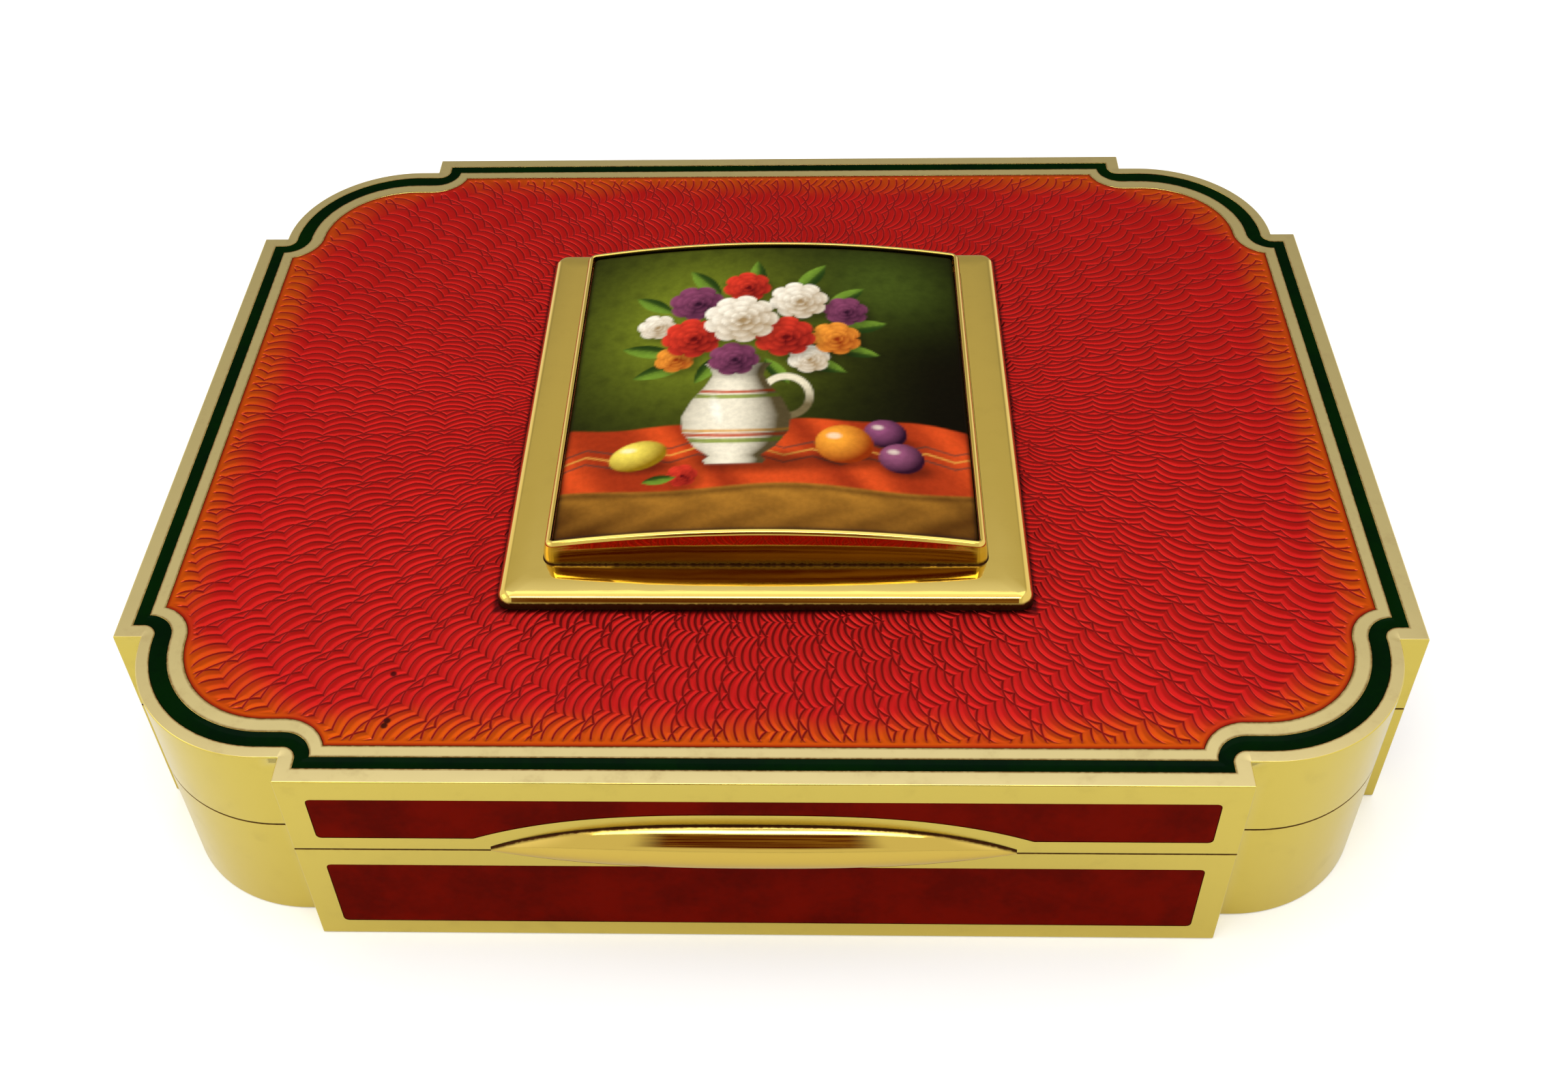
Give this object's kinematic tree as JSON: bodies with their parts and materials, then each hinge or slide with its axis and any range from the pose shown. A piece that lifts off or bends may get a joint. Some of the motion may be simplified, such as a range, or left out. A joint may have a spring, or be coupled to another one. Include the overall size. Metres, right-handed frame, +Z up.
{
  "type": "table box",
  "caption": "Low rectangular table box with stepped round corners, enamelled sides, a hinged engine-turned enamel lid, a lens-shaped thumb piece and a raised arched plaque.",
  "frame": {"origin": "centre of the underside's plan, on the surface the box rests on", "axes": "+X to the right along the box's length, +Y towards the hinge at the back, +Z up through the lid"},
  "size_m": [0.13, 0.1065, 0.0312],
  "materials": {
    "gilt": "polished",
    "polished_gilt": "mirror",
    "gilt_inside": "satin",
    "top_enamel": "gloss",
    "band_enamel": "gloss",
    "green_enamel": "gloss",
    "painted_enamel": "gloss",
    "copper": "matte"
  },
  "bodies": {
    "base": {"base_floor": "gilt_inside", "base_walls": "gilt", "base_front_enamel": "band_enamel", "base_right_enamel": "band_enamel", "base_rear_enamel": "band_enamel", "base_left_enamel": "band_enamel", "base_hinge_bearer": "gilt_inside", "base_knuckle_1": "gilt", "base_knuckle_2": "gilt", "base_knuckle_3": "gilt", "base_knuckle_4": "gilt", "base_knuckle_5": "gilt", "hinge_pin": "gilt", "inner_rim": "gilt_inside"},
    "lid": {"lid_top": "gilt", "top_enamel": "top_enamel", "green_enamel_line": "green_enamel", "lid_walls": "gilt", "lid_front_enamel": "band_enamel", "lid_right_enamel": "band_enamel", "lid_rear_enamel": "band_enamel", "lid_left_enamel": "band_enamel", "lid_hinge_bearer": "gilt_inside", "lid_knuckle_1": "gilt", "lid_knuckle_2": "gilt", "lid_knuckle_3": "gilt", "lid_knuckle_4": "gilt", "thumb_piece": "polished_gilt", "lid_lining": "gilt_inside", "mount_plate": "polished_gilt", "bezel": "polished_gilt", "plaque_packing": "copper", "plaque": "painted_enamel", "mount_nut_1": "gilt_inside", "mount_nut_2": "gilt_inside", "mount_nut_3": "gilt_inside", "mount_nut_4": "gilt_inside"}
  },
  "joints": [
    {"name": "lid_hinge", "type": "hinge", "parent": "base", "child": "lid", "pos_m": [0, 0.05063, 0.0146], "axis": [-1, 0, 0], "range_deg": [0, 94]}
  ]
}
